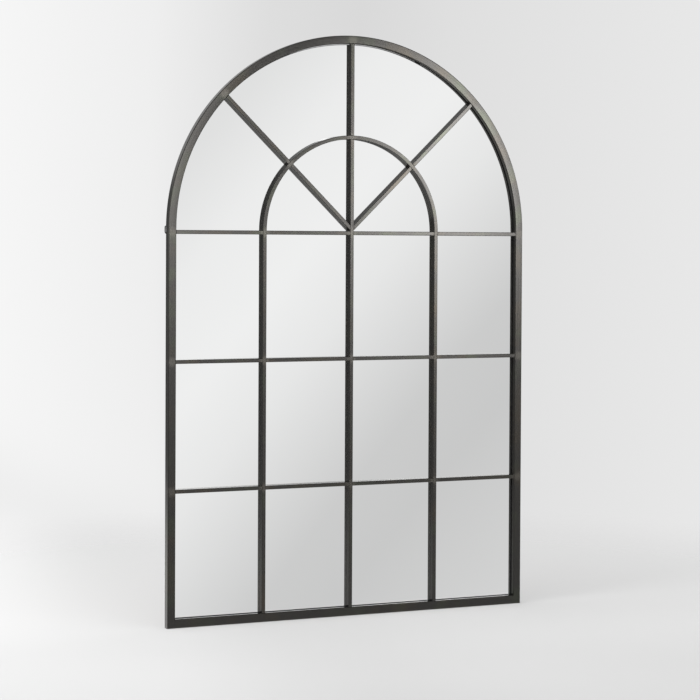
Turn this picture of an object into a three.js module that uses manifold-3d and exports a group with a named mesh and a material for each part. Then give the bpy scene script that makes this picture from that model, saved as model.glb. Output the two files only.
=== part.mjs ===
// Arched window mirror: a welded steel tube frame with a semicircular head, glazing bars in front of one
// sheet of mirror glass, a backing board held by screwed clips, and two hanging rings on the back.
//
// Millimetres, +Z up, +X to the viewer's right, +Y to the back.
// The origin is the middle of the bottom rail's underside, on the floor.

import * as THREE from 'three';
import { mergeVertices } from 'three/addons/utils/BufferGeometryUtils.js';
import Module from 'manifold-3d';

const wasm = await Module();
wasm.setup();

// ---------------------------------------------------------------- driving dimensions

const overallWidth = 1000;
const springlineHeight = 1000; // the stiles' height; the head is a semicircle standing on it

const frameFace = 21; // stiles' and arch's tube, seen from the front
const railFace = 23; // bottom rail's tube, seen from the front
const frameWall = 1.5;
const frameCornerRadius = 2;

const barFace = 10; // glazing bar tube, seen from the front
const barDepth = 14.7;
const barWall = 1.2;
const barCornerRadius = 1;

const paneColumns = 4;
const paneRows = 3; // square-headed rows, below the top crossbar
const topCrossbarDrop = 9; // from the springline down to the top crossbar's centre line
const diagonalAngle = THREE.MathUtils.degToRad(46); // from the vertical
const weldGap = 0.3; // left between pieces that meet on a curve or at a slant

const glassThickness = 4;
const glassToBars = 0.3;
const glassEdgeClearance = 1;
const boardThickness = 2.5;
const boardToGlass = 0.3;
const boardEdgeClearance = 1.5;
const boardToClips = 0.2;
const sillClearance = 0.3; // glass and board stand on the bottom rail

const screwShankRadius = 1.75;
const screwLength = 10;
const screwHeadRadius = 3.75;
const screwHeadHeight = 2.4;
const screwRecessLength = 4;
const screwRecessWidth = 0.9;
const screwRecessDepth = 1.2;
const screwHoleClearance = 0.3;

const clipWidth = 16;
const clipThickness = 1.5;
const clipOuterMargin = 3; // from the frame's outer edge to the clip
const clipLapOnBoard = 14;
const clipCornerRadius = 3;
const stileClipHeights = [250, 680];
const railClipOffset = 230; // each side of the middle
const archClipAngles = [22, 66, 114, 158]; // degrees, from the right-hand springing

const ringWireRadius = 1.5;
const ringWidth = 25; // outside
const ringHeight = 21.5; // outside
const ringHingeCornerRadius = 3; // wire centre line
const ringEndCornerRadius = 5;
const ringButtGap = 0.6; // between the wire's two ends, inside the strap's curl
const ringHingeRise = 5.5; // of the hinge, above the springline

const strapWidth = 15;
const strapThickness = 1.2;
const strapLength = 48; // below the ring's hinge
const strapToWire = 0.3;
const strapCurlEnd = -60; // degrees round the wire, from straight back
const strapScrewPitch = 14;
const strapEndToScrew = 8; // from the strap's rounded end to the lower screw

const bumperRadius = 7;
const bumperHeight = 6;
const bumperEdgeRadius = 1.5;
const bumperFootHeight = 45; // of its middle, above the floor

const frameArcSteps = 90;
const barArcSteps = 60;
const sheetArcSegments = 45; // an arc in a shape gets twice as many as this
const cornerSegments = 1;
const curlSegments = 5;
const roundSegments = 12;
const ringSteps = 44;
const ringSides = 8;

// ---------------------------------------------------------------- derived places

// The frame tube is as deep as what lies inside it: bars, glass and board, flush at the front.
const glassDepth = barDepth + glassToBars; // from the front of the frame
const boardDepth = glassDepth + glassThickness + boardToGlass;
const frameDepth = boardDepth + boardThickness + boardToClips;
const frontY = -frameDepth / 2;
const backY = frameDepth / 2;
const headRadius = overallWidth / 2; // outside of the outer arch
const stileX = (overallWidth - frameFace) / 2;
const openingHalfWidth = overallWidth / 2 - frameFace;
const openingRadius = headRadius - frameFace;

const paneWidth = (2 * openingHalfWidth - (paneColumns - 1) * barFace) / paneColumns;
const barPitch = paneWidth + barFace;
const topCrossbarHeight = springlineHeight - topCrossbarDrop;
const paneHeight = (topCrossbarHeight - barFace / 2 - railFace - (paneRows - 1) * barFace) / paneRows;
const crossbarPitch = paneHeight + barFace;
const fanCentreHeight = springlineHeight; // the diagonals spread from here
const innerArchRadius = barPitch; // centre line: it carries on the left and right bars
const innerArchFoot = topCrossbarHeight + barFace / 2; // and the height of its centre
const innerArchInside = innerArchRadius - barFace / 2;
const innerArchOutside = innerArchRadius + barFace / 2;

const clipBackY = backY + clipThickness;
const strapBackY = backY + strapThickness;
const ringHingeY = strapBackY + strapToWire + ringWireRadius;
const ringHingeHeight = springlineHeight + ringHingeRise;
const screwHoleRadius = screwShankRadius + screwHoleClearance;
const lowerScrewDrop = strapLength - strapEndToScrew; // below the ring's hinge
const strapScrewDrops = [lowerScrewDrop - strapScrewPitch, lowerScrewDrop];

// ---------------------------------------------------------------- materials

function metal(color, roughness) {
  return new THREE.MeshStandardMaterial({ color, roughness, metalness: 1 });
}

const patinatedSteel = metal(0x4e4b49, 0.42);
const zincSteel = metal(0xb9bab6, 0.35);
const blackSteel = metal(0x1d1d1e, 0.4);
const mirrorGlass = metal(0xe9eeee, 0.02);
const hardboard = new THREE.MeshStandardMaterial({ color: 0x4a3626, roughness: 0.85, metalness: 0 });
const rubber = new THREE.MeshStandardMaterial({ color: 0x161616, roughness: 0.8, metalness: 0 });

// ---------------------------------------------------------------- solids, joined and cut

function toSolid(geometry) {
  const bare = geometry.clone();
  bare.deleteAttribute('normal');
  bare.deleteAttribute('uv');
  const merged = mergeVertices(bare, 1e-4);
  return new wasm.Manifold(new wasm.Mesh({
    numProp: 3,
    vertProperties: new Float32Array(merged.attributes.position.array),
    triVerts: new Uint32Array(merged.index.array),
  }));
}

function toGeometry(solid) {
  const mesh = solid.getMesh();
  const geometry = new THREE.BufferGeometry();
  geometry.setAttribute('position', new THREE.BufferAttribute(new Float32Array(mesh.vertProperties), 3));
  geometry.setIndex(new THREE.BufferAttribute(new Uint32Array(mesh.triVerts), 1));
  geometry.computeVertexNormals();
  return geometry;
}

function cut(geometry, tools) {
  const left = tools.reduce((solid, tool) => solid.subtract(toSolid(tool)), toSolid(geometry));
  return toGeometry(left);
}

// A round pin along Y from nearY to farY, to cut a hole with.
function holeTool(radius, x, z, nearY, farY) {
  const tool = new THREE.CylinderGeometry(radius, radius, farY - nearY, roundSegments);
  return tool.translate(x, (nearY + farY) / 2, z);
}

// ---------------------------------------------------------------- tubes

// A rectangular tube's section: x across its face, y from its front (0) to its back.
function tubeSection(face, depth, wall, cornerRadius) {
  const side = face / 2;
  const outline = new THREE.Shape();
  outline.absarc(side - cornerRadius, cornerRadius, cornerRadius, -Math.PI / 2, 0, false);
  outline.absarc(side - cornerRadius, depth - cornerRadius, cornerRadius, 0, Math.PI / 2, false);
  outline.absarc(cornerRadius - side, depth - cornerRadius, cornerRadius, Math.PI / 2, Math.PI, false);
  outline.absarc(cornerRadius - side, cornerRadius, cornerRadius, Math.PI, 1.5 * Math.PI, false);
  outline.closePath();
  const bore = new THREE.Path();
  bore.moveTo(wall - side, wall);
  bore.lineTo(wall - side, depth - wall);
  bore.lineTo(side - wall, depth - wall);
  bore.lineTo(side - wall, wall);
  bore.closePath();
  outline.holes.push(bore);
  return outline;
}

const frameSection = tubeSection(frameFace, frameDepth, frameWall, frameCornerRadius);
const railSection = tubeSection(railFace, frameDepth, frameWall, frameCornerRadius);
const barSection = tubeSection(barFace, barDepth, barWall, barCornerRadius);

// A straight tube that runs along +Z from z = 0.
function straightTube(section, length) {
  return new THREE.ExtrudeGeometry(section, {
    depth: length, steps: 1, bevelEnabled: false, curveSegments: cornerSegments,
  });
}

// Slants the tube's end that lies at endZ: each of its points moves along the tube by slant(x).
function slantEnd(geometry, endZ, slant) {
  const position = geometry.attributes.position;
  for (let i = 0; i < position.count; i += 1) {
    if (Math.abs(position.getZ(i) - endZ) < 1e-3) {
      position.setZ(i, endZ + slant(position.getX(i)));
    }
  }
  return geometry;
}

// A tube bent upright to a circle about the origin. Angles run from +X over the top, and the section's
// x axis points away from the centre.
function bentTube(section, radius, startAngle, endAngle, steps) {
  const geometry = new THREE.ExtrudeGeometry(section, {
    depth: 1, steps, bevelEnabled: false, curveSegments: cornerSegments,
  });
  const position = geometry.attributes.position;
  for (let i = 0; i < position.count; i += 1) {
    const angle = startAngle + (endAngle - startAngle) * position.getZ(i);
    const reach = radius + position.getX(i);
    position.setXYZ(i, reach * Math.cos(angle), position.getY(i), reach * Math.sin(angle));
  }
  return geometry;
}

// ---------------------------------------------------------------- the model

const model = new THREE.Group();
model.name = 'arched_window_mirror';

function add(name, geometry, material, x, y, z, turnY = 0) {
  const mesh = new THREE.Mesh(geometry, material);
  mesh.name = name;
  mesh.position.set(x, y, z);
  mesh.rotation.y = turnY;
  model.add(mesh);
  return mesh;
}

const alongX = Math.PI / 2; // turns a tube from +Z to +X

// ---------------------------------------------------------------- frame

const backWallNearY = frameDepth - frameWall - 1; // in the section's own y
const backWallFarY = frameDepth + 1;

function backWallHole(x, z) {
  return holeTool(screwHoleRadius, x, z, backWallNearY, backWallFarY);
}

// The stiles and the rail meet on a line from the opening's corner to the frame's outer corner.
function stile(side) {
  const tube = straightTube(frameSection, springlineHeight);
  slantEnd(tube, 0, (x) => (frameFace / 2 - side * x) * (railFace / frameFace));
  const strapHoles = strapScrewDrops.map((drop) => backWallHole(0, ringHingeHeight - drop));
  const clipHoles = stileClipHeights.map((height) => backWallHole(0, height));
  return cut(tube, [...strapHoles, ...clipHoles]);
}

function bottomRail() {
  const tube = straightTube(railSection, overallWidth);
  const slope = frameFace / railFace;
  slantEnd(tube, 0, (x) => (railFace / 2 - x) * slope);
  slantEnd(tube, overallWidth, (x) => (x - railFace / 2) * slope);
  const middle = overallWidth / 2;
  return cut(tube, [-railClipOffset, railClipOffset].map((offset) => backWallHole(0, middle + offset)));
}

function outerArch() {
  const radius = headRadius - frameFace / 2;
  const tube = bentTube(frameSection, radius, 0, Math.PI, frameArcSteps);
  const holes = archClipAngles.map((degrees) => {
    const angle = THREE.MathUtils.degToRad(degrees);
    return backWallHole(radius * Math.cos(angle), radius * Math.sin(angle));
  });
  return cut(tube, holes);
}

add('left_stile', stile(-1), patinatedSteel, -stileX, frontY, 0);
add('right_stile', stile(1), patinatedSteel, stileX, frontY, 0);
add('bottom_rail', bottomRail(), patinatedSteel, -overallWidth / 2, frontY, railFace / 2, alongX);
add('outer_arch', outerArch(), patinatedSteel, 0, frontY, springlineHeight);

// ---------------------------------------------------------------- upright glazing bars

const uprightLength = innerArchFoot - railFace;

add('left_bar', straightTube(barSection, uprightLength), patinatedSteel, -barPitch, frontY, railFace);
add('right_bar', straightTube(barSection, uprightLength), patinatedSteel, barPitch, frontY, railFace);

const centreBarLength = innerArchFoot + innerArchInside - weldGap - railFace;
add('centre_bar', straightTube(barSection, centreBarLength), patinatedSteel, 0, frontY, railFace);

const topBarFoot = innerArchFoot + innerArchOutside + weldGap;
const topBarLength = springlineHeight + openingRadius - weldGap - topBarFoot;
add('top_centre_bar', straightTube(barSection, topBarLength), patinatedSteel, 0, frontY, topBarFoot);

// ---------------------------------------------------------------- crossbars, cut between the uprights

const rowNames = ['low', 'middle', 'top'];
const columnNames = ['far_left', 'left', 'right', 'far_right'];

rowNames.forEach((rowName, row) => {
  const height = railFace + paneHeight + barFace / 2 + row * crossbarPitch;
  columnNames.forEach((columnName, column) => {
    const startX = -openingHalfWidth + column * barPitch;
    const name = `${rowName}_crossbar_${columnName}`;
    add(name, straightTube(barSection, paneWidth), patinatedSteel, startX, frontY, height, alongX);
  });
});

// ---------------------------------------------------------------- inner arch and diagonals

add(
  'inner_arch',
  bentTube(barSection, innerArchRadius, 0, Math.PI, barArcSteps),
  patinatedSteel, 0, frontY, innerArchFoot,
);

// How far from the fan's centre a circle lies, on a line beside a diagonal's centre line. The circle's centre
// is on the middle line of the mirror, and across is towards the apex.
function reachToCircle(radius, centreHeight, across) {
  const rise = centreHeight - fanCentreHeight;
  const missed = rise * Math.sin(diagonalAngle) - across;
  return rise * Math.cos(diagonalAngle) + Math.sqrt(radius ** 2 - missed ** 2);
}

function nearReach(radius, centreHeight) {
  const edges = [-barFace / 2, barFace / 2];
  return Math.min(...edges.map((across) => reachToCircle(radius, centreHeight, across)));
}

// An inner diagonal runs from the fan's centre to the inner arch. Its foot is cut to sit against the centre
// bar and clear of the top crossbar; side is 1 on the right and -1 on the left.
function innerDiagonal(side) {
  const length = nearReach(innerArchInside, innerArchFoot) - weldGap;
  const tube = straightTube(barSection, length).rotateY(side * diagonalAngle);
  const reach = 4 * barFace;
  const crossbarTop = innerArchFoot - fanCentreHeight + weldGap;
  const centreBarSpace = new THREE.BoxGeometry(barFace + 2 * weldGap, reach, 2 * reach);
  const crossbarSpace = new THREE.BoxGeometry(2 * reach, reach, reach).translate(0, 0, crossbarTop - reach / 2);
  return cut(tube, [centreBarSpace, crossbarSpace]);
}

function outerDiagonal() {
  const rise = innerArchFoot - fanCentreHeight;
  const start = rise * Math.cos(diagonalAngle) + innerArchOutside + weldGap;
  const length = nearReach(openingRadius, springlineHeight) - weldGap - start;
  return straightTube(barSection, length).translate(0, 0, start);
}

add('left_inner_diagonal', innerDiagonal(-1), patinatedSteel, 0, frontY, fanCentreHeight);
add('right_inner_diagonal', innerDiagonal(1), patinatedSteel, 0, frontY, fanCentreHeight);
add('left_outer_diagonal', outerDiagonal(), patinatedSteel, 0, frontY, fanCentreHeight, -diagonalAngle);
add('right_outer_diagonal', outerDiagonal(), patinatedSteel, 0, frontY, fanCentreHeight, diagonalAngle);

// ---------------------------------------------------------------- glass and backing board

// A sheet of the opening's outline, clear of the tubes all round. It lies in the XZ plane, its front at y = 0.
function archedSheet(edgeClearance, thickness) {
  const halfWidth = openingHalfWidth - edgeClearance;
  const foot = railFace + sillClearance;
  const outline = new THREE.Shape();
  outline.moveTo(-halfWidth, foot);
  outline.lineTo(halfWidth, foot);
  outline.absarc(0, springlineHeight, openingRadius - edgeClearance, 0, Math.PI, false);
  outline.closePath();
  const sheet = new THREE.ExtrudeGeometry(outline, {
    depth: thickness, bevelEnabled: false, curveSegments: sheetArcSegments,
  });
  return sheet.rotateX(Math.PI / 2).translate(0, thickness, 0);
}

add('mirror_glass', archedSheet(glassEdgeClearance, glassThickness), mirrorGlass, 0, frontY + glassDepth, 0);
add('backing_board', archedSheet(boardEdgeClearance, boardThickness), hardboard, 0, frontY + boardDepth, 0);

// ---------------------------------------------------------------- screws

// A pan-head screw that points forwards, its head's seat at y = 0, with a cross recess.
function panHeadScrew() {
  const rim = screwHeadHeight / 3;
  const profile = [
    new THREE.Vector2(0, screwHeadHeight),
    new THREE.Vector2(screwHeadRadius * 0.6, screwHeadHeight * 0.9),
    new THREE.Vector2(screwHeadRadius, rim),
    new THREE.Vector2(screwHeadRadius, 0),
    new THREE.Vector2(screwShankRadius, 0),
    new THREE.Vector2(screwShankRadius, screwShankRadius - screwLength),
    new THREE.Vector2(0, -screwLength),
  ].reverse();
  const body = new THREE.LatheGeometry(profile, roundSegments);
  const recess = () => new THREE.BoxGeometry(screwRecessLength, 2 * screwRecessDepth, screwRecessWidth)
    .translate(0, screwHeadHeight, 0);
  return cut(body, [recess(), recess().rotateY(Math.PI / 2)]);
}

const screw = panHeadScrew();

// ---------------------------------------------------------------- retaining clips

const clipLength = frameFace - clipOuterMargin + clipLapOnBoard;

// A flat plate across the frame's back wall and the board. The screw hole is at the origin, in the middle of
// the frame's tube, and the plate reaches inwards along -X.
function retainingClip() {
  const outerX = frameFace / 2 - clipOuterMargin;
  const innerX = outerX - clipLength;
  const side = clipWidth / 2;
  const r = clipCornerRadius;
  const plan = new THREE.Shape();
  plan.absarc(innerX + r, r - side, r, Math.PI, 1.5 * Math.PI, false);
  plan.absarc(outerX - r, r - side, r, 1.5 * Math.PI, 2 * Math.PI, false);
  plan.absarc(outerX - r, side - r, r, 0, Math.PI / 2, false);
  plan.absarc(innerX + r, side - r, r, Math.PI / 2, Math.PI, false);
  plan.closePath();
  const plate = new THREE.ExtrudeGeometry(plan, {
    depth: clipThickness, bevelEnabled: false, curveSegments: cornerSegments,
  });
  plate.rotateX(Math.PI / 2).translate(0, clipThickness, 0);
  return cut(plate, [holeTool(screwHoleRadius, 0, 0, -1, clipThickness + 1)]);
}

const clip = retainingClip();

// outward is the direction from the opening to the frame's outside, in degrees from +X.
function addClip(place, x, z, outward) {
  add(`${place}_clip`, clip, zincSteel, x, backY, z, -THREE.MathUtils.degToRad(outward));
  add(`${place}_clip_screw`, screw, zincSteel, x, clipBackY, z);
}

const heightNames = ['lower', 'upper'];
stileClipHeights.forEach((height, i) => {
  addClip(`left_stile_${heightNames[i]}`, -stileX, height, 180);
  addClip(`right_stile_${heightNames[i]}`, stileX, height, 0);
});

addClip('rail_left', -railClipOffset, railFace / 2, 270);
addClip('rail_right', railClipOffset, railFace / 2, 270);

const archClipNames = ['arch_right', 'arch_upper_right', 'arch_upper_left', 'arch_left'];
archClipAngles.forEach((degrees, i) => {
  const angle = THREE.MathUtils.degToRad(degrees);
  const radius = headRadius - frameFace / 2;
  const x = radius * Math.cos(angle);
  addClip(archClipNames[i], x, springlineHeight + radius * Math.sin(angle), degrees);
});

// ---------------------------------------------------------------- hanging rings

// The strap's side view is drawn with x away from the frame's back and y up from the ring's hinge: a flat
// leaf, then a curl that goes round the ring's wire and stops short of the leaf.
function hangerStrap() {
  const boreRadius = ringWireRadius + strapToWire;
  const curlRadius = boreRadius + strapThickness;
  const curlEnd = THREE.MathUtils.degToRad(strapCurlEnd);
  const profile = new THREE.Shape();
  profile.moveTo(0, -strapLength);
  profile.lineTo(strapThickness, -strapLength);
  profile.lineTo(strapThickness, 0);
  profile.absarc(curlRadius, 0, boreRadius, Math.PI, curlEnd, true);
  profile.absarc(curlRadius, 0, curlRadius, curlEnd, Math.PI, false);
  profile.closePath();
  const bentStrip = new THREE.ExtrudeGeometry(profile, {
    depth: strapWidth, bevelEnabled: false, curveSegments: curlSegments,
  });
  // From (away, up, across) to (X across, Y away, Z up).
  const toFrame = new THREE.Matrix4().set(
    0, 0, 1, -strapWidth / 2,
    1, 0, 0, 0,
    0, 1, 0, 0,
    0, 0, 0, 1,
  );
  bentStrip.applyMatrix4(toFrame);

  const plan = new THREE.Shape();
  const side = strapWidth / 2;
  plan.moveTo(side, 2 * side);
  plan.lineTo(-side, 2 * side);
  plan.lineTo(-side, side - strapLength);
  plan.absarc(0, side - strapLength, side, Math.PI, 2 * Math.PI, false);
  plan.closePath();
  const planBlock = new THREE.ExtrudeGeometry(plan, {
    depth: 4 * curlRadius, bevelEnabled: false, curveSegments: curlSegments,
  });
  planBlock.rotateX(Math.PI / 2).translate(0, 3 * curlRadius, 0);

  const rounded = toSolid(bentStrip).intersect(toSolid(planBlock));
  const holes = strapScrewDrops.map((drop) => holeTool(screwHoleRadius, 0, -drop, -1, strapThickness + 1));
  return cut(toGeometry(rounded), holes);
}

// The ring's wire, as a path in the XZ plane: out from the middle of its straight side, down, round the far
// end and back. The hinge is at the origin and the ring hangs below it.
class RingPath extends THREE.Curve {
  constructor() {
    super();
    const side = ringWidth / 2 - ringWireRadius;
    const far = 2 * ringWireRadius - ringHeight;
    const near = ringHingeCornerRadius;
    const end = ringEndCornerRadius;
    this.outline = new THREE.Path();
    this.outline.moveTo(ringButtGap / 2, 0);
    this.outline.absarc(side - near, -near, near, Math.PI / 2, 0, true);
    this.outline.absarc(side - end, far + end, end, 0, -Math.PI / 2, true);
    this.outline.absarc(end - side, far + end, end, -Math.PI / 2, -Math.PI, true);
    this.outline.absarc(near - side, -near, near, Math.PI, Math.PI / 2, true);
    this.outline.lineTo(-ringButtGap / 2, 0);
  }

  getPoint(t) {
    const point = this.outline.getPointAt(t);
    return new THREE.Vector3(point.x, 0, point.y);
  }
}

function hangingRing() {
  const wire = new THREE.Shape();
  for (let i = 0; i < ringSides; i += 1) {
    const angle = (i * 2 * Math.PI) / ringSides;
    const x = ringWireRadius * Math.cos(angle);
    const y = ringWireRadius * Math.sin(angle);
    if (i === 0) wire.moveTo(x, y);
    else wire.lineTo(x, y);
  }
  wire.closePath();
  return new THREE.ExtrudeGeometry(wire, { steps: ringSteps, extrudePath: new RingPath() });
}

function addHanger(side, x) {
  add(`${side}_ring_strap`, hangerStrap(), blackSteel, x, backY, ringHingeHeight);
  add(`${side}_hanging_ring`, hangingRing(), blackSteel, x, ringHingeY, ringHingeHeight);
  strapScrewDrops.forEach((drop, i) => {
    const name = `${side}_strap_${['upper', 'lower'][i]}_screw`;
    add(name, screw, zincSteel, x, strapBackY, ringHingeHeight - drop);
  });
}

addHanger('left', -stileX);
addHanger('right', stileX);

// ---------------------------------------------------------------- wall bumpers

// A round rubber stop glued to the back, with a rounded outer edge. Its axis is Y and its seat is at y = 0.
function wallBumper() {
  const r = bumperEdgeRadius;
  const profile = [
    new THREE.Vector2(0, 0),
    new THREE.Vector2(bumperRadius, 0),
    new THREE.Vector2(bumperRadius, bumperHeight - r),
    new THREE.Vector2(bumperRadius - r * (1 - Math.SQRT1_2), bumperHeight - r * (1 - Math.SQRT1_2)),
    new THREE.Vector2(bumperRadius - r, bumperHeight),
    new THREE.Vector2(0, bumperHeight),
  ];
  return new THREE.LatheGeometry(profile, 2 * roundSegments);
}

add('left_wall_bumper', wallBumper(), rubber, -stileX, backY, bumperFootHeight);
add('right_wall_bumper', wallBumper(), rubber, stileX, backY, bumperFootHeight);

export default model;
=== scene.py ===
import math

import bmesh
import bpy
from mathutils import Matrix, Vector


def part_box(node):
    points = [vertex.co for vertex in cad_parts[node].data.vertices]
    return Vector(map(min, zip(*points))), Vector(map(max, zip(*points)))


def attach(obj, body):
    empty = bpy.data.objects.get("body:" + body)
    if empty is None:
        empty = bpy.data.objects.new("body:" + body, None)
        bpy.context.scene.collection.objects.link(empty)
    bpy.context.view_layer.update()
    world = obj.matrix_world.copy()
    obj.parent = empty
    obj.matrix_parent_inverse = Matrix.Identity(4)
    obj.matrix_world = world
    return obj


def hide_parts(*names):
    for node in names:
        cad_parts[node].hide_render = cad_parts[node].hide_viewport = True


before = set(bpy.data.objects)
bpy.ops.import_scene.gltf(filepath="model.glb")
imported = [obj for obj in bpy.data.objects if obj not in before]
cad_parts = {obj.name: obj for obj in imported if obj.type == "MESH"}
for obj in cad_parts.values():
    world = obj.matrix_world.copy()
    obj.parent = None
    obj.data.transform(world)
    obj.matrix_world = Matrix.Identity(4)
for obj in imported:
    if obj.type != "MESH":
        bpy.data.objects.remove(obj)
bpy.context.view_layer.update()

# ------------------------------------------------------------------ camera
# The photograph is taken from the front left, 5 m away and at the height of the top crossbar. The lens is
# shifted down, which keeps the uprights parallel.
photo_width = 700
focal_length_pixels = 2112.8
horizon_above_middle_pixels = 70.1
camera_place = (-2.2325, -4.9913, 0.9641)
camera_turn, camera_tilt, camera_roll = -0.4205, -0.0172, 0.0048

camera_data = bpy.data.cameras.new("camera")
camera_data.sensor_width = 36
camera_data.lens = 36 * focal_length_pixels / photo_width
camera_data.shift_y = -horizon_above_middle_pixels / photo_width
camera_data.clip_start = 0.1
camera = bpy.data.objects.new("camera", camera_data)
camera.matrix_world = (
    Matrix.Translation(camera_place)
    @ Matrix.Rotation(camera_turn, 4, "Z")
    @ Matrix.Rotation(math.radians(90) + camera_tilt, 4, "X")
    @ Matrix.Rotation(camera_roll, 4, "Z")
)
bpy.context.scene.collection.objects.link(camera)
bpy.context.scene.camera = camera
bpy.context.scene.view_settings.view_transform = "Standard"


# ------------------------------------------------------------------ studio
# A white studio, whose shell is the world. The camera sees a pale wall that curves into the floor, and the
# sharp glass shows a pale wall with one soft slanting shade. The steel is lit by walls of several levels.
class Field:
    """A node's output, as a value in arithmetic. Its node() adds any other node to the same tree."""

    def __init__(self, tree, socket=None):
        self.tree = tree
        self.socket = socket

    def node(self, kind, settings=(), sockets=(), output=0):
        made = self.tree.nodes.new(kind)
        for name, value in dict(settings).items():
            if name == "stops":
                ramp = made.color_ramp
                while len(ramp.elements) < len(value):
                    ramp.elements.new(1.0)
                for element, (place, colour) in zip(ramp.elements, value):
                    element.position = place
                    element.color = (*colour, 1) if hasattr(colour, "__len__") else (colour,) * 3 + (1,)
            else:
                setattr(made, name, value)
        for name, value in dict(sockets).items():
            if isinstance(value, Field):
                self.tree.links.new(value.socket, made.inputs[name])
            else:
                made.inputs[name].default_value = value
        return Field(self.tree, made.outputs[output] if made.outputs else None)

    def math(self, operation, *values):
        return self.node("ShaderNodeMath", {"operation": operation}, dict(enumerate((self, *values))))

    def __add__(self, other):
        return self.math("ADD", other)

    def __sub__(self, other):
        return self.math("SUBTRACT", other)

    def __mul__(self, other):
        return self.math("MULTIPLY", other)

    def __truediv__(self, other):
        return self.math("DIVIDE", other)

    def __pow__(self, other):
        return self.math("POWER", other)

    def __rsub__(self, other):
        return self.math("MULTIPLY_ADD", -1.0, other)

    def __abs__(self):
        return self.math("ABSOLUTE")

    __radd__ = __add__
    __rmul__ = __mul__


world = bpy.data.worlds.new("studio")
bpy.context.scene.world = world
world.use_nodes = True
world.node_tree.nodes.clear()
shell = Field(world.node_tree)
direction = shell.node("ShaderNodeTexCoord", output="Generated")
across = shell.node("ShaderNodeSeparateXYZ", sockets={0: direction}, output="X")
ahead = shell.node("ShaderNodeSeparateXYZ", sockets={0: direction}, output="Y")
height = shell.node("ShaderNodeSeparateXYZ", sockets={0: direction}, output="Z")


def glow(towards, spread, strength):
    """A soft round patch of light on the shell."""
    middle = Vector(towards).normalized()
    aligned = shell.node(
        "ShaderNodeVectorMath", {"operation": "DOT_PRODUCT"}, {0: direction, 1: middle}, output="Value"
    )
    return ((aligned - 1.0) * (1 / (1 - math.cos(spread)))).math("EXPONENT") * strength


def rise(value, low, high, start=0.0, end=1.0):
    """A smooth step from one level to another."""
    return shell.node(
        "ShaderNodeMapRange",
        {"interpolation_type": "SMOOTHSTEP"},
        {"Value": value, "From Min": low, "From Max": high, "To Min": start, "To Max": end},
    )


# The front wall, as the steel sees it with nothing in between. It is darker to the left, and brightest in a
# band just above the horizon.
direct = shell.node("ShaderNodeLightPath", output="Ray Depth").math("LESS_THAN", 2.5)
above = rise(height, -0.037, 0.02)
below = rise(height, -0.5, -0.25, 0.85, 0.40)
front = below * (1 - above) + above * rise(height, 0.10, 0.17, 1.45, 0.15)
front = front * rise(across, -0.35, 0.15, 0.5, 1.0)

# The same wall by way of the glass or another piece. It lights the sides of the bars, low on the left the
# bars' feet, on the right the tops of the crossbars, and in a narrow band the top of the rail.
after_matt = shell.node("ShaderNodeLightPath", output="Diffuse Depth").math("GREATER_THAN", 0.5)
right = rise(across, -0.15, 0.2, 0.0, 0.3) + rise(across, 0.26, 0.34, 0.0, -0.1)
right = right + rise(across, 0.385, 0.43, 0.0, 0.7)
low_left = rise(height, -0.16, -0.10, 0.28, 0.0) * rise(across, 0.1, 0.3, 1.0, 0.0)
band = rise(height, 0.145, 0.165, 0.0, 2.2) * rise(across, 0.27, 0.36) * rise(height, 0.2, 0.25, 1.0, 0.0)
by_glass = 0.16 + right * rise(height, -0.05, 0.03) + low_left + band

# The rear wall, beyond the mirror: dim at the horizon, lighter above it and near the floor.
high_up = rise(height, 0.12, 0.28) * rise(across, 0.0, 0.35, 0.5, 0.25)
rear = 0.18 + high_up + rise(height, -0.15, -0.10, 0.8, 0.0)
behind = rise(ahead, -0.3, 0.3)
walls = (front * direct + (1 - direct) * (by_glass + after_matt * 0.7)) * (1 - behind) + behind * rear

# Bright panels: an upright slit and a round one at the front right, and three at the sides. A dark screen
# stands round the camera.
slit = (((across - 0.45) / 0.02) ** 2.0 + ((height - 0.042) / 0.045) ** 2.0) * -0.5
panels = slit.math("EXPONENT") * ahead.math("LESS_THAN", 0.0) * direct * 8.0
panels = panels + glow((0.232, -0.97, 0.068), 0.1, 4.0)
side_panels = glow((-0.75, -0.66, 0.1), 0.15, 1.5) + glow((-0.9, 0.4, 0.15), 0.2, 1.2)
side_panels = side_panels + glow((0.6, 0.79, 0.1), 0.2, 1.5)
screen = glow((0.381, -0.921, 0.08), 0.049, 2.5) * direct
strength = (walls + panels + side_panels - screen).math("MAXIMUM", 0.0)
lit = shell.node("ShaderNodeBackground", sockets={"Color": (1, 1, 1, 1), "Strength": strength})

# What the sharp glass shows, and what the camera sees: a wall with a painted shade along its cove, and the
# floor beyond the disc with a faint patch of painted light.
bright_half = [(0.24, 0.83), (0.275, 0.935), (0.31, 0.96), (0.34, 0.885)]
slanting = bright_half + [(0.39, 0.67), (0.417, 0.645), (0.6, 0.9)]
mirrored = shell.node("ShaderNodeValToRGB", {"stops": slanting}, {0: 0.788 * across - 0.616 * height})
upright = [(0.24, 0.93), (0.32, 0.86), (0.37, 0.73), (0.41, 0.695), (0.45, 0.74), (0.56, 0.81)]
backdrop = shell.node("ShaderNodeValToRGB", {"stops": upright}, {0: across})
# Painted shade along the cove, where the wall curves into the floor; below it, a faint patch of painted light
# on the floor.
cove_shade = (((height + across * 0.5) / 0.02) ** 2.0 * -0.5).math("EXPONENT") * 0.11
seen = backdrop * rise(height, -0.193, -0.172, 0.85, 1.0) * (1 - cove_shade)
seen = seen + glow((0.25, 0.96, -0.160), 0.036, 0.13)
show_mirrored = shell.node("ShaderNodeBackground", sockets={"Color": mirrored, "Strength": 1.0})
show_seen = shell.node("ShaderNodeBackground", sockets={"Color": seen, "Strength": 1.0})

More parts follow.
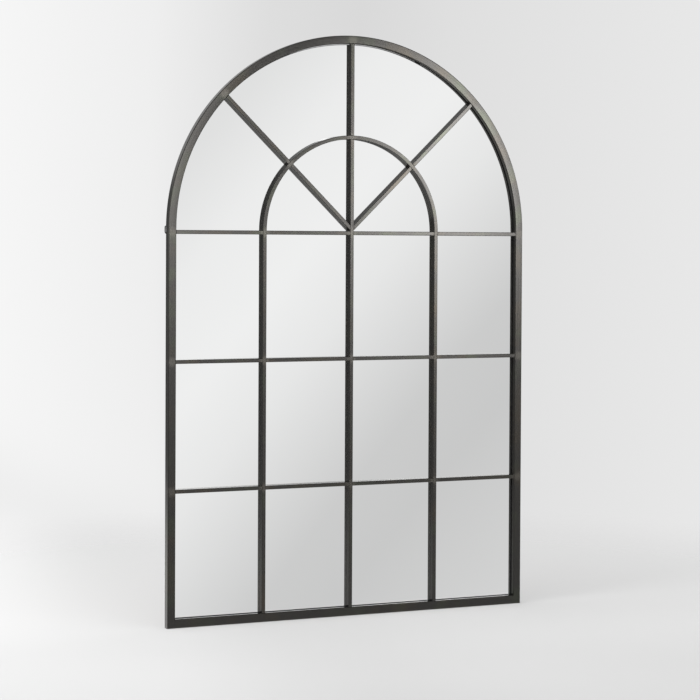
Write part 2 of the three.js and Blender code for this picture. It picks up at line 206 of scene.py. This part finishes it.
from_camera = shell.node("ShaderNodeLightPath", output="Is Camera Ray")
sharp = shell.node("ShaderNodeLightPath", output="Is Singular Ray")
light = shell.node("ShaderNodeMixShader", sockets={0: sharp * direct, 1: lit, 2: show_mirrored})
light = shell.node("ShaderNodeMixShader", sockets={0: from_camera, 1: light, 2: show_seen})
shell.node("ShaderNodeOutputWorld", sockets={"Surface": light})

# The floor is painted white. It keeps the contact shadow near the mirror and fades into the shell.
floor_radius = 2.4
fade_starts, fade_ends = 0.7, floor_radius - 0.1
floor_cover = 0.6
bm = bmesh.new()
bmesh.ops.create_circle(bm, cap_ends=True, segments=96, radius=floor_radius)
floor_mesh = bpy.data.meshes.new("floor")
bm.to_mesh(floor_mesh)
bm.free()
floor = bpy.data.objects.new("floor", floor_mesh)
bpy.context.scene.collection.objects.link(floor)
floor.visible_glossy = False

floor_paint = bpy.data.materials.new("floor_paint")
floor_paint.use_nodes = True
floor_paint.node_tree.nodes.clear()
paint = Field(floor_paint.node_tree)
place = paint.node("ShaderNodeTexCoord", output="Object")
distance = paint.node("ShaderNodeVectorMath", {"operation": "LENGTH"}, {0: place}, output="Value")
cover = paint.node(
    "ShaderNodeMapRange",
    {"interpolation_type": "SMOOTHSTEP"},
    {"Value": distance, "From Min": fade_starts, "From Max": fade_ends, "To Min": floor_cover, "To Max": 0.0},
)
matt = paint.node("ShaderNodeBsdfDiffuse", sockets={"Color": (0.78, 0.78, 0.78, 1)})
clear = paint.node("ShaderNodeBsdfTransparent")
surface = paint.node("ShaderNodeMixShader", sockets={0: cover, 1: clear, 2: matt})
paint.node("ShaderNodeOutputMaterial", sockets={"Surface": surface})
floor_mesh.materials.append(floor_paint)


def softbox(name, place, target, width, height, power):
    """A soft lamp that shines at a target and isn't itself seen in the steel or the glass."""
    lamp = bpy.data.lights.new(name, "AREA")
    lamp.shape = "RECTANGLE"
    lamp.size = width
    lamp.size_y = height
    lamp.energy = power
    holder = bpy.data.objects.new(name, lamp)
    aim = (Vector(target) - Vector(place)).to_track_quat("-Z", "Y")
    holder.matrix_world = Matrix.Translation(place) @ aim.to_matrix().to_4x4()
    holder.visible_glossy = False
    bpy.context.scene.collection.objects.link(holder)


# Two soft lamps: the key from the left, and a wide one overhead.
softbox("key", (-4.0, -0.8, 3.0), (-0.4, 0, 0), 2.4, 2.4, 126)
softbox("overhead", (-0.2, -0.6, 4.2), (-0.2, -0.2, 0), 3.0, 3.0, 90)

# ------------------------------------------------------------------ welded tube frame
# Stiles, rail, glazing bars and diagonals are steel tubes, cut square or mitred, welded and ground flush. The
# finish is a dark gunmetal patina, rubbed by hand: faint brown and green clouds, and brighter metal at the
# welds. Along the rounded edges the colour is lighter too, partly from wear and partly as a painted highlight.
low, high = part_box("left_stile")
frame_face = high.x - low.x
stile_centre = abs(high.x) + frame_face / 2
springline = high.z
low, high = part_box("right_bar")
bar_face = high.x - low.x
bar_pitch = (low.x + high.x) / 2
low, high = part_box("inner_arch")
inner_arch_foot = low.z
inner_reach = high.z - low.z - bar_face / 2
crossbar_heights = [sum(c.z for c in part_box(f"{row}_crossbar_left")) / 2 for row in ("low", "middle", "top")]
diagonal_lean = math.radians(46)
fan_joints = [(0, springline + stile_centre), (0, inner_arch_foot + inner_reach)]
for reach in (inner_reach, stile_centre):
    fan_joints.append((reach * math.sin(diagonal_lean), springline + reach * math.cos(diagonal_lean)))

mean_radius = 0.4  # of the arches, to turn an angle into a length along the tube
streaks_across, streaks_along = 500, 12  # to the metre
weld_reach, weld_core = 0.017, 0.005
edge_radius = 0.0005
# How much lighter the welds get from wear, and the rounded edges from wear and a painted highlight.
edge_wear_and_highlight, weld_wear = 0.2, 0.4
rub_depth = 0.00003


def patina(name, tone=1.0, centre=None, lean=0.0, crosswise=False):
    """The frame's finish, rubbed along the tube: upright, crosswise, round a centre or at a lean."""
    made = bpy.data.materials.new(name)
    made.use_nodes = True
    made.node_tree.nodes.clear()
    coat = Field(made.node_tree)
    place = coat.node("ShaderNodeTexCoord", output="Object")
    x = coat.node("ShaderNodeSeparateXYZ", sockets={0: place}, output="X")
    y = coat.node("ShaderNodeSeparateXYZ", sockets={0: place}, output="Y")
    z = coat.node("ShaderNodeSeparateXYZ", sockets={0: place}, output="Z")

    # Rubbing: fine streaks along the tube, and an uneven tint.
    if centre is not None:
        side = (x ** 2.0 + (z - centre) ** 2.0) ** 0.5
        along = (z - centre).math("ARCTAN2", x) * mean_radius
    elif crosswise:
        side, along = z, x
    else:
        side = x * math.cos(lean) - z * math.sin(lean)
        along = x * math.sin(lean) + z * math.cos(lean)
    drawn = coat.node(
        "ShaderNodeCombineXYZ",
        sockets={0: side * streaks_across, 1: y * streaks_across, 2: along * streaks_along},
    )
    streaks = coat.node("ShaderNodeTexNoise", sockets={"Vector": drawn, "Scale": 1.0, "Detail": 3.0})
    clouds = coat.node(
        "ShaderNodeTexNoise", sockets={"Vector": place, "Scale": 11.0, "Detail": 4.0, "Roughness": 0.6}
    )
    specks = coat.node("ShaderNodeTexNoise", sockets={"Vector": place, "Scale": 160.0, "Detail": 3.0})
    tints = coat.node(
        "ShaderNodeTexNoise", {"noise_dimensions": "4D"}, {"Vector": place, "Scale": 17.0, "W": 4.0}
    )

    # Welds: a rubbed patch where tubes meet, on the grid and at the fan's joints.
    half = abs(x)
    posts = half.math("MINIMUM", abs(half - bar_pitch)).math("MINIMUM", abs(half - stile_centre))
    levels = abs(z - crossbar_heights[0])
    for level in crossbar_heights[1:]:
        levels = levels.math("MINIMUM", abs(z - level))
    crossing = posts ** 2.0 + levels ** 2.0
    for post, level in fan_joints:
        crossing = crossing.math("MINIMUM", (half - post) ** 2.0 + (z - level) ** 2.0)
    weld = coat.node(
        "ShaderNodeMapRange",
        {"interpolation_type": "SMOOTHSTEP"},
        {"Value": crossing ** 0.5, "From Min": weld_reach, "From Max": weld_core},
    )

    # Edges: the rounded corners, which face neither forwards nor sideways, are lighter, partly from wear and
    # partly as a painted highlight.
    rounded = coat.node("ShaderNodeBevel", {"samples": 6}, {"Radius": edge_radius if centre is None else 0.0})
    normal = coat.node("ShaderNodeNewGeometry", output="Normal")
    facing = abs(coat.node("ShaderNodeSeparateXYZ", sockets={0: normal}, output="Y"))
    edge_wear_and_highlight_mask = (facing * (1 - facing) * 4.0) ** 2.0

    dark = [tone * c for c in (0.074, 0.071, 0.067)] + [1]
    warm = [tone * c for c in (0.105, 0.088, 0.066)] + [1]
    green = [tone * c for c in (0.084, 0.090, 0.071)] + [1]
    bright_wear_and_highlight = (0.17, 0.16, 0.14, 1)

    def mix(factor, under, over):
        return coat.node("ShaderNodeMix", {"data_type": "RGBA"}, {0: factor, 6: under, 7: over}, output=2)

    warm_part = coat.node(
        "ShaderNodeMapRange", sockets={"Value": clouds, "From Min": 0.5, "From Max": 0.75, "To Max": 0.6}
    )
    green_part = coat.node(
        "ShaderNodeMapRange", sockets={"Value": tints, "From Min": 0.5, "From Max": 0.7, "To Max": 0.8}
    )
    colour = mix(warm_part, dark, warm)
    colour = mix(green_part, colour, green)
    # Lighter metal: worn at the welds, and along the rounded edges partly worn and partly a painted highlight.
    wear_and_highlight = edge_wear_and_highlight_mask * edge_wear_and_highlight + weld * weld_wear * (0.4 + specks)
    colour = mix(wear_and_highlight, colour, bright_wear_and_highlight)
    rough = 0.13 + (streaks - 0.5) * 0.05 + (specks - 0.5) * 0.03 + weld * 0.05
    relief = streaks + specks * 0.05
    bump = coat.node(
        "ShaderNodeBump",
        sockets={"Strength": 1.0, "Distance": rub_depth, "Height": relief, "Normal": rounded},
    )
    metal = coat.node(
        "ShaderNodeBsdfPrincipled",
        sockets={"Base Color": colour, "Metallic": 0.85, "Roughness": rough, "Normal": bump},
    )
    coat.node("ShaderNodeOutputMaterial", sockets={"Surface": metal})
    return made


bar_tone = 1.15
crossbars = [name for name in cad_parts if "_crossbar_" in name]
left_fan = ["left_inner_diagonal", "left_outer_diagonal"]
right_fan = ["right_inner_diagonal", "right_outer_diagonal"]
finishes = {
    patina("stile_patina"): ["left_stile", "right_stile"],
    patina("rail_patina", crosswise=True): ["bottom_rail"],
    patina("bar_patina", bar_tone): ["left_bar", "right_bar", "centre_bar", "top_centre_bar"],
    patina("crossbar_patina", bar_tone, crosswise=True): crossbars,
    patina("left_fan_patina", bar_tone, lean=-diagonal_lean): left_fan,
    patina("right_fan_patina", bar_tone, lean=diagonal_lean): right_fan,
}
for finish, names in finishes.items():
    for name in names:
        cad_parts[name].data.materials[0] = finish


# ------------------------------------------------------------------ arches
# The outer arch and the inner one are the same tubes, rolled to a half circle. Each is swept from its rounded
# section, smooth where the CAD solid has facets.
smooth_below = math.radians(35)


def arch_tube(name, node, width, corner, steps):
    low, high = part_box(node)
    centre = low.z
    radius = high.z - low.z - width / 2
    depth = high.y - low.y
    bm = bmesh.new()
    bmesh.ops.create_grid(bm, x_segments=1, y_segments=1, size=0.5)
    bmesh.ops.scale(bm, vec=(width, depth, 1), verts=bm.verts[:])
    bmesh.ops.delete(bm, geom=bm.faces[:], context="FACES_ONLY")
    bmesh.ops.bevel(
        bm, geom=bm.verts[:], offset=corner, segments=5, profile=0.5, affect="VERTICES",
        clamp_overlap=False, material=-1,
    )
    bmesh.ops.translate(bm, vec=(radius, (low.y + high.y) / 2, centre), verts=bm.verts[:])
    bmesh.ops.spin(
        bm, geom=bm.verts[:] + bm.edges[:], cent=(0, 0, centre), axis=(0, -1, 0), angle=math.pi, steps=steps
    )
    bmesh.ops.holes_fill(bm, edges=[e for e in bm.edges if e.is_boundary], sides=0)
    bmesh.ops.recalc_face_normals(bm, faces=bm.faces[:])
    mesh = bpy.data.meshes.new(name)
    bm.to_mesh(mesh)
    bm.free()
    mesh.shade_smooth()
    mesh.set_sharp_from_angle(angle=smooth_below)
    tube = bpy.data.objects.new(name, mesh)
    bpy.context.scene.collection.objects.link(tube)
    tube.modifiers.new("flats", "WEIGHTED_NORMAL").keep_sharp = True
    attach(tube, "root")
    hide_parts(node)
    return tube


frame_corner, bar_corner = 0.002, 0.001
outer_arch = arch_tube("outer_arch_tube", "outer_arch", frame_face, frame_corner, 180)
outer_arch.data.materials.append(patina("outer_arch_patina", centre=springline))
inner_arch = arch_tube("inner_arch_tube", "inner_arch", bar_face, bar_corner, 120)
inner_arch.data.materials.append(patina("inner_arch_patina", centre=inner_arch_foot))

# ------------------------------------------------------------------ mirror glass
# One sheet of 4 mm float glass, which lies against the backs of the bars. It is silvered, and its back and its
# edge are painted. A narrow dark rim round its front, where it meets the frame, is painted shade.
shaded_rim_width = 0.0014
silver_depth = 0.0002
silvering = bpy.data.materials.new("silvered_glass")
silvering.use_nodes = True
silvering.node_tree.nodes.clear()
glass = Field(silvering.node_tree)
place = glass.node("ShaderNodeTexCoord", output="Object")
x = glass.node("ShaderNodeSeparateXYZ", sockets={0: place}, output="X")
depth = glass.node("ShaderNodeSeparateXYZ", sockets={0: place}, output="Y")
z = glass.node("ShaderNodeSeparateXYZ", sockets={0: place}, output="Z")
sheet_low, sheet_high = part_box("mirror_glass")
from_axis = (x ** 2.0 + (z - springline).math("MAXIMUM", 0.0) ** 2.0) ** 0.5
inset = (sheet_high.x - from_axis).math("MINIMUM", z - sheet_low.z)
paint_and_rim_shade = depth.math("GREATER_THAN", sheet_low.y + silver_depth)
# A dark band round the front of the glass, where it meets the frame: painted shade.
paint_and_rim_shade = paint_and_rim_shade.math("MAXIMUM", inset.math("LESS_THAN", shaded_rim_width))
surface = glass.node(
    "ShaderNodeMix",
    {"data_type": "RGBA"},
    {0: paint_and_rim_shade, 6: (0.895, 0.9, 0.898, 1), 7: (0.035, 0.037, 0.04, 1)},
    output=2,
)
shine = glass.node(
    "ShaderNodeBsdfPrincipled",
    sockets={"Base Color": surface, "Metallic": 1 - paint_and_rim_shade, "Roughness": paint_and_rim_shade * 0.5},
)
glass.node("ShaderNodeOutputMaterial", sockets={"Surface": shine})
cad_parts["mirror_glass"].data.materials[0] = silvering

# ------------------------------------------------------------------ backing board
# A sheet of brown hardboard, cut to the frame's opening, closes the back. The clips press it to the glass,
# its smooth face outwards.
hardboard = bpy.data.materials.new("hardboard")
hardboard.use_nodes = True
hardboard.node_tree.nodes.clear()
board = Field(hardboard.node_tree)
place = board.node("ShaderNodeTexCoord", output="Object")
fibres = board.node(
    "ShaderNodeTexNoise", sockets={"Vector": place, "Scale": 420.0, "Detail": 4.0, "Roughness": 0.7}
)
blotches = board.node("ShaderNodeTexNoise", sockets={"Vector": place, "Scale": 6.0, "Detail": 5.0})
flecks = board.node("ShaderNodeTexVoronoi", {"feature": "F1"}, {"Vector": place, "Scale": 300.0}, "Distance")
brown = board.node(
    "ShaderNodeValToRGB",
    {"stops": [(0.25, (0.085, 0.045, 0.024)), (0.5, (0.125, 0.068, 0.036)), (0.75, (0.19, 0.115, 0.066))]},
    {0: fibres * 0.55 + blotches * 0.35 + flecks * 0.12},
)
pressed = board.node("ShaderNodeBump", sockets={"Strength": 0.3, "Distance": 0.0003, "Height": fibres})
sheet = board.node(
    "ShaderNodeBsdfPrincipled",
    sockets={
        "Base Color": brown, "Roughness": 0.52 + (fibres - 0.5) * 0.3, "Specular IOR Level": 0.35,
        "Normal": pressed,
    },
)
board.node("ShaderNodeOutputMaterial", sockets={"Surface": sheet})
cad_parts["backing_board"].data.materials[0] = hardboard

# ------------------------------------------------------------------ retaining clips
# Ten flat steel clips, zinc plated, keep the board and the glass in the frame. Each is a pressed plate with
# rounded corners and one screw.
zinc = bpy.data.materials.new("zinc_plate")
zinc.use_nodes = True
zinc.node_tree.nodes.clear()
plating = Field(zinc.node_tree)
place = plating.node("ShaderNodeTexCoord", output="Object")
bloom = plating.node(
    "ShaderNodeTexNoise", sockets={"Vector": place, "Scale": 90.0, "Detail": 4.0, "Distortion": 0.6}
)
grain = plating.node("ShaderNodeTexNoise", sockets={"Vector": place, "Scale": 900.0, "Detail": 2.0})
silver = plating.node(
    "ShaderNodeValToRGB",
    {"stops": [(0.35, (0.44, 0.45, 0.45)), (0.55, (0.58, 0.58, 0.56)), (0.7, (0.66, 0.63, 0.55))]},
    {0: bloom},
)
pitted = plating.node("ShaderNodeBump", sockets={"Strength": 0.2, "Distance": 0.0001, "Height": grain})
steel = plating.node(
    "ShaderNodeBsdfPrincipled",
    sockets={
        "Base Color": silver, "Metallic": 1.0, "Roughness": 0.27 + (bloom - 0.5) * 0.3, "Normal": pitted,
    },
)
plating.node("ShaderNodeOutputMaterial", sockets={"Surface": steel})


def piece(bm, name, node, body, material, turn=Matrix.Identity(4)):
    """A finished bmesh becomes a piece in place of its CAD node, its place in its mesh."""
    bmesh.ops.transform(bm, matrix=turn, verts=bm.verts[:])
    bmesh.ops.remove_doubles(bm, verts=bm.verts[:], dist=1e-6)
    bmesh.ops.recalc_face_normals(bm, faces=bm.faces[:])
    mesh = bpy.data.meshes.new(name)
    bm.to_mesh(mesh)
    bm.free()
    mesh.shade_smooth()
    mesh.set_sharp_from_angle(angle=smooth_below)
    mesh.materials.append(material)
    made = bpy.data.objects.new(name, mesh)
    bpy.context.scene.collection.objects.link(made)
    made.modifiers.new("flats", "WEIGHTED_NORMAL").keep_sharp = True
    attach(made, body)
    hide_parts(node)
    return made


clip_length, clip_width = 0.032, 0.016
clip_corner, clip_edge = 0.003, 0.0003
clip_names = [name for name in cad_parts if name.endswith("_clip")]
for name in clip_names:
    low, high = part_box(name)
    middle = (low + high) / 2
    inwards = middle - sum(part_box(f"{name}_screw"), Vector()) / 2
    turn = math.atan2(inwards.z, inwards.x)
    bm = bmesh.new()
    bmesh.ops.create_grid(bm, x_segments=1, y_segments=1, size=0.5)
    bmesh.ops.scale(bm, vec=(clip_length, clip_width, 1), verts=bm.verts[:])
    bmesh.ops.bevel(
        bm, geom=bm.verts[:], offset=clip_corner, segments=5, profile=0.5, affect="VERTICES", material=-1
    )
    raised = bmesh.ops.extrude_face_region(bm, geom=bm.faces[:])["geom"]
    rim = [v for v in raised if isinstance(v, bmesh.types.BMVert)]
    bmesh.ops.translate(bm, vec=(0, 0, high.y - low.y), verts=rim)
    outline = [e for e in bm.edges if abs(e.verts[0].co.z - e.verts[1].co.z) < 1e-7]
    bmesh.ops.bevel(bm, geom=outline, offset=clip_edge, segments=2, profile=0.5, affect="EDGES", material=-1)
    lay = (
        Matrix.Translation((middle.x, low.y, middle.z))
        @ Matrix.Rotation(math.radians(90), 4, "X")
        @ Matrix.Scale(-1, 4, (0, 0, 1))
        @ Matrix.Rotation(turn, 4, "Z")
    )
    piece(bm, f"{name}_plate", name, "root", zinc, lay)

# ------------------------------------------------------------------ screws
# Zinc-plated pan-head screws with a cross recess: one in each clip and two in each hanger's strap. One is
# turned and its recess is punched, and the rest are copies of it.
head_radius, head_height = 0.00375, 0.0024
shank_radius, shank_length = 0.00175, 0.010
recess_reach, recess_width, recess_depth = 0.0022, 0.0009, 0.0013

bm = bmesh.new()
profile = [(0, -shank_length), (shank_radius, shank_radius - shank_length), (shank_radius, 0)]
profile += [(head_radius, 0)]
crown = [(1.0, 0.2), (0.96, 0.42), (0.85, 0.68), (0.65, 0.88), (0.40, 0.97)]
profile += [(head_radius * out, head_height * up) for out, up in crown] + [(0, head_height)]
corners = [bm.verts.new((out, up, 0)) for out, up in profile]
outline = [bm.edges.new(pair) for pair in zip(corners, corners[1:])]
bmesh.ops.spin(bm, geom=corners + outline, axis=(0, 1, 0), angle=math.tau, steps=32, use_merge=True)
bmesh.ops.remove_doubles(bm, verts=bm.verts[:], dist=1e-7)
bmesh.ops.recalc_face_normals(bm, faces=bm.faces[:])
turned = bpy.data.meshes.new("turned_screw")
bm.to_mesh(turned)
bm.free()

bm = bmesh.new()
for quarter in (0, 1):
    punch = bmesh.ops.create_cube(bm, size=1)["verts"]
    bmesh.ops.scale(bm, vec=(2 * recess_reach, 2 * recess_depth, recess_width), verts=punch)
    ends = [v for v in punch if v.co.y < 0]
    bmesh.ops.scale(bm, vec=(0.6, 1, 0.8), verts=ends)
    bmesh.ops.rotate(bm, matrix=Matrix.Rotation(quarter * math.radians(90), 3, "Y"), verts=punch)
bmesh.ops.translate(bm, vec=(0, head_height, 0), verts=bm.verts[:])
punched = bpy.data.meshes.new("punch")
bm.to_mesh(punched)
bm.free()

blank = bpy.data.objects.new("turned_screw", turned)
cross = bpy.data.objects.new("punch", punched)
for made in (blank, cross):
    bpy.context.scene.collection.objects.link(made)
recess = blank.modifiers.new("recess", "BOOLEAN")
recess.object = cross
recess.use_self = True
bpy.context.view_layer.update()
screw_mesh = bpy.data.meshes.new_from_object(blank.evaluated_get(bpy.context.evaluated_depsgraph_get()))
bpy.data.objects.remove(blank)
bpy.data.objects.remove(cross)

turn_between_screws = math.radians(37)
screw_names = [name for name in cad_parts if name.endswith("_screw")]
for count, name in enumerate(screw_names):
    low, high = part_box(name)
    middle = (low + high) / 2
    seat = Vector((middle.x, high.y - head_height, middle.z))
    bm = bmesh.new()
    bm.from_mesh(screw_mesh)
    tightened = Matrix.Rotation(count * turn_between_screws, 4, "Y")
    piece(bm, f"{name}_piece", name, "root", zinc, Matrix.Translation(seat) @ tightened)

# ------------------------------------------------------------------ ring hangers
# On the back of each stile a strip of black steel is folded round a wire ring and screwed down. The ring is
# bent from 3 mm wire, its ends meeting inside the fold, and swings over the strap or up to a wall hook.
black = bpy.data.materials.new("black_zinc_plate")
black.use_nodes = True
black.node_tree.nodes.clear()
coating = Field(black.node_tree)
place = coating.node("ShaderNodeTexCoord", output="Object")
rubs = coating.node(
    "ShaderNodeTexNoise", sockets={"Vector": place, "Scale": 220.0, "Detail": 4.0, "Roughness": 0.65}
)
shade = coating.node(
    "ShaderNodeValToRGB",
    {"stops": [(0.35, (0.008, 0.008, 0.009)), (0.62, (0.016, 0.016, 0.017)), (0.75, (0.06, 0.058, 0.055))]},
    {0: rubs},
)
fine = coating.node("ShaderNodeBump", sockets={"Strength": 0.2, "Distance": 0.0001, "Height": rubs})
black_steel = coating.node(
    "ShaderNodeBsdfPrincipled",
    sockets={
        "Base Color": shade, "Metallic": 0.3, "Roughness": 0.45 + (rubs - 0.5) * 0.3,
        "Specular IOR Level": 0.15, "Normal": fine,
    },
)
coating.node("ShaderNodeOutputMaterial", sockets={"Surface": black_steel})

ring_corner, ring_end_corner = 0.003, 0.005
ring_gap = 0.0006
strap_gap, strap_edge = 0.0003, 0.0002
fold_turn = math.radians(-240)
for side in ("left", "right"):
    ring_low, ring_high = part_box(f"{side}_hanging_ring")
    wire = (ring_high.y - ring_low.y) / 2
    reach = (ring_high.x - ring_low.x) / 2 - wire
    hinge = Vector(((ring_low.x + ring_high.x) / 2, (ring_low.y + ring_high.y) / 2, ring_high.z - wire))
    drop = ring_low.z + wire - hinge.z

    bm = bmesh.new()
    section = bmesh.ops.create_circle(bm, cap_ends=True, segments=16, radius=wire)["verts"]
    bmesh.ops.rotate(bm, matrix=Matrix.Rotation(math.radians(90), 3, "Y"), verts=section)
    bmesh.ops.translate(bm, vec=(ring_gap / 2, 0, 0), verts=section)
    end = section + [e for e in bm.edges if e.verts[0] in section]
    stops = [
        ((reach - ring_corner, 0), (reach - ring_corner, -ring_corner)),
        ((reach, drop + ring_end_corner), (reach - ring_end_corner, drop + ring_end_corner)),
        ((ring_end_corner - reach, drop), (ring_end_corner - reach, drop + ring_end_corner)),
        ((-reach, -ring_corner), (ring_corner - reach, -ring_corner)),
        ((-ring_gap / 2, 0), None),
    ]
    at = Vector((ring_gap / 2, 0, 0))
    for (x, z), bend in stops:
        to = Vector((x, 0, z))
        rim = [e for e in end if isinstance(e, bmesh.types.BMEdge)]
        straight = bmesh.ops.extrude_edge_only(bm, edges=rim)["geom"]
        tip = [v for v in straight if isinstance(v, bmesh.types.BMVert)]
        edges = [e for e in straight if isinstance(e, bmesh.types.BMEdge)]
        tip_edges = [e for e in edges if all(v in tip for v in e.verts)]
        bmesh.ops.translate(bm, vec=to - at, verts=tip)
        end = tip + tip_edges
        at = to
        if bend:
            centre = Vector((bend[0], 0, bend[1]))
            end = bmesh.ops.spin(
                bm, geom=end, cent=centre, axis=(0, 1, 0), angle=math.radians(90), steps=7
            )["geom_last"]
            at = centre + Matrix.Rotation(math.radians(90), 3, "Y") @ (at - centre)
    bmesh.ops.holes_fill(bm, edges=[e for e in end if isinstance(e, bmesh.types.BMEdge)], sides=0)
    piece(
        bm, f"{side}_hanging_ring_wire", f"{side}_hanging_ring", f"{side}_ring", black,
        Matrix.Translation(hinge),
    )

    strap_low, strap_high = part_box(f"{side}_ring_strap")
    width = strap_high.x - strap_low.x
    thickness = strap_high.z - hinge.z - wire - strap_gap
    leaf = hinge.z - strap_low.z
    bm = bmesh.new()
    bmesh.ops.create_grid(bm, x_segments=1, y_segments=1, size=0.5)
    bmesh.ops.scale(bm, vec=(width, leaf, 1), verts=bm.verts[:])
    bmesh.ops.translate(bm, vec=(0, -leaf / 2, 0), verts=bm.verts[:])
    foot = [v for v in bm.verts if v.co.y < -leaf / 2]
    bmesh.ops.bevel(
        bm, geom=foot, offset=width / 2 - 0.0001, segments=10, profile=0.5, affect="VERTICES", material=-1
    )
    bmesh.ops.rotate(bm, matrix=Matrix.Rotation(math.radians(90), 3, "X"), verts=bm.verts[:])
    raised = bmesh.ops.extrude_face_region(bm, geom=bm.faces[:])["geom"]
    back = [v for v in raised if isinstance(v, bmesh.types.BMVert)]
    bmesh.ops.translate(bm, vec=(0, thickness, 0), verts=back)
    top = [f for f in bm.faces if all(abs(v.co.z) < 1e-7 for v in f.verts)]
    fold = [*top[0].verts, *top[0].edges, *top]
    bmesh.ops.spin(
        bm, geom=fold, cent=(0, hinge.y - strap_low.y, 0), axis=(1, 0, 0), angle=fold_turn, steps=20
    )
    bmesh.ops.remove_doubles(bm, verts=bm.verts[:], dist=1e-7)
    bmesh.ops.recalc_face_normals(bm, faces=bm.faces[:])
    rims = [e for e in bm.edges if len(e.link_faces) == 2 and e.calc_face_angle() > math.radians(60)]
    bmesh.ops.bevel(bm, geom=rims, offset=strap_edge, segments=2, profile=0.5, affect="EDGES", material=-1)
    piece(
        bm, f"{side}_ring_strap_fold", f"{side}_ring_strap", "root", black,
        Matrix.Translation((hinge.x, strap_low.y, hinge.z)),
    )

# ------------------------------------------------------------------ wall bumpers
# Two round rubber stops are stuck on the back near the foot. They keep the mirror parallel to the wall.
rubber = bpy.data.materials.new("black_rubber")
rubber.use_nodes = True
rubber.node_tree.nodes.clear()
stop = Field(rubber.node_tree)
place = stop.node("ShaderNodeTexCoord", output="Object")
dust = stop.node("ShaderNodeTexNoise", sockets={"Vector": place, "Scale": 300.0, "Detail": 5.0})
tone = stop.node(
    "ShaderNodeValToRGB", {"stops": [(0.4, (0.016, 0.016, 0.016)), (0.75, (0.045, 0.044, 0.042))]}, {0: dust}
)
skin = stop.node("ShaderNodeBump", sockets={"Strength": 0.35, "Distance": 0.0002, "Height": dust})
moulded = stop.node(
    "ShaderNodeBsdfPrincipled",
    sockets={
        "Base Color": tone, "Roughness": 0.66 + (dust - 0.5) * 0.3, "Specular IOR Level": 0.35,
        "Normal": skin,
    },
)
stop.node("ShaderNodeOutputMaterial", sockets={"Surface": moulded})

bumper_edge = 0.0015
for side in ("left", "right"):
    low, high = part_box(f"{side}_wall_bumper")
    radius = (high.x - low.x) / 2
    bm = bmesh.new()
    bmesh.ops.create_cone(
        bm, cap_ends=True, segments=48, radius1=radius, radius2=radius, depth=high.y - low.y
    )
    bmesh.ops.rotate(bm, matrix=Matrix.Rotation(math.radians(-90), 3, "X"), verts=bm.verts[:])
    outer = [e for e in bm.edges if all(v.co.y > 0 for v in e.verts)]
    bmesh.ops.bevel(bm, geom=outer, offset=bumper_edge, segments=5, profile=0.5, affect="EDGES", material=-1)
    piece(
        bm, f"{side}_wall_bumper_stop", f"{side}_wall_bumper", "root", rubber,
        Matrix.Translation((low + high) / 2),
    )
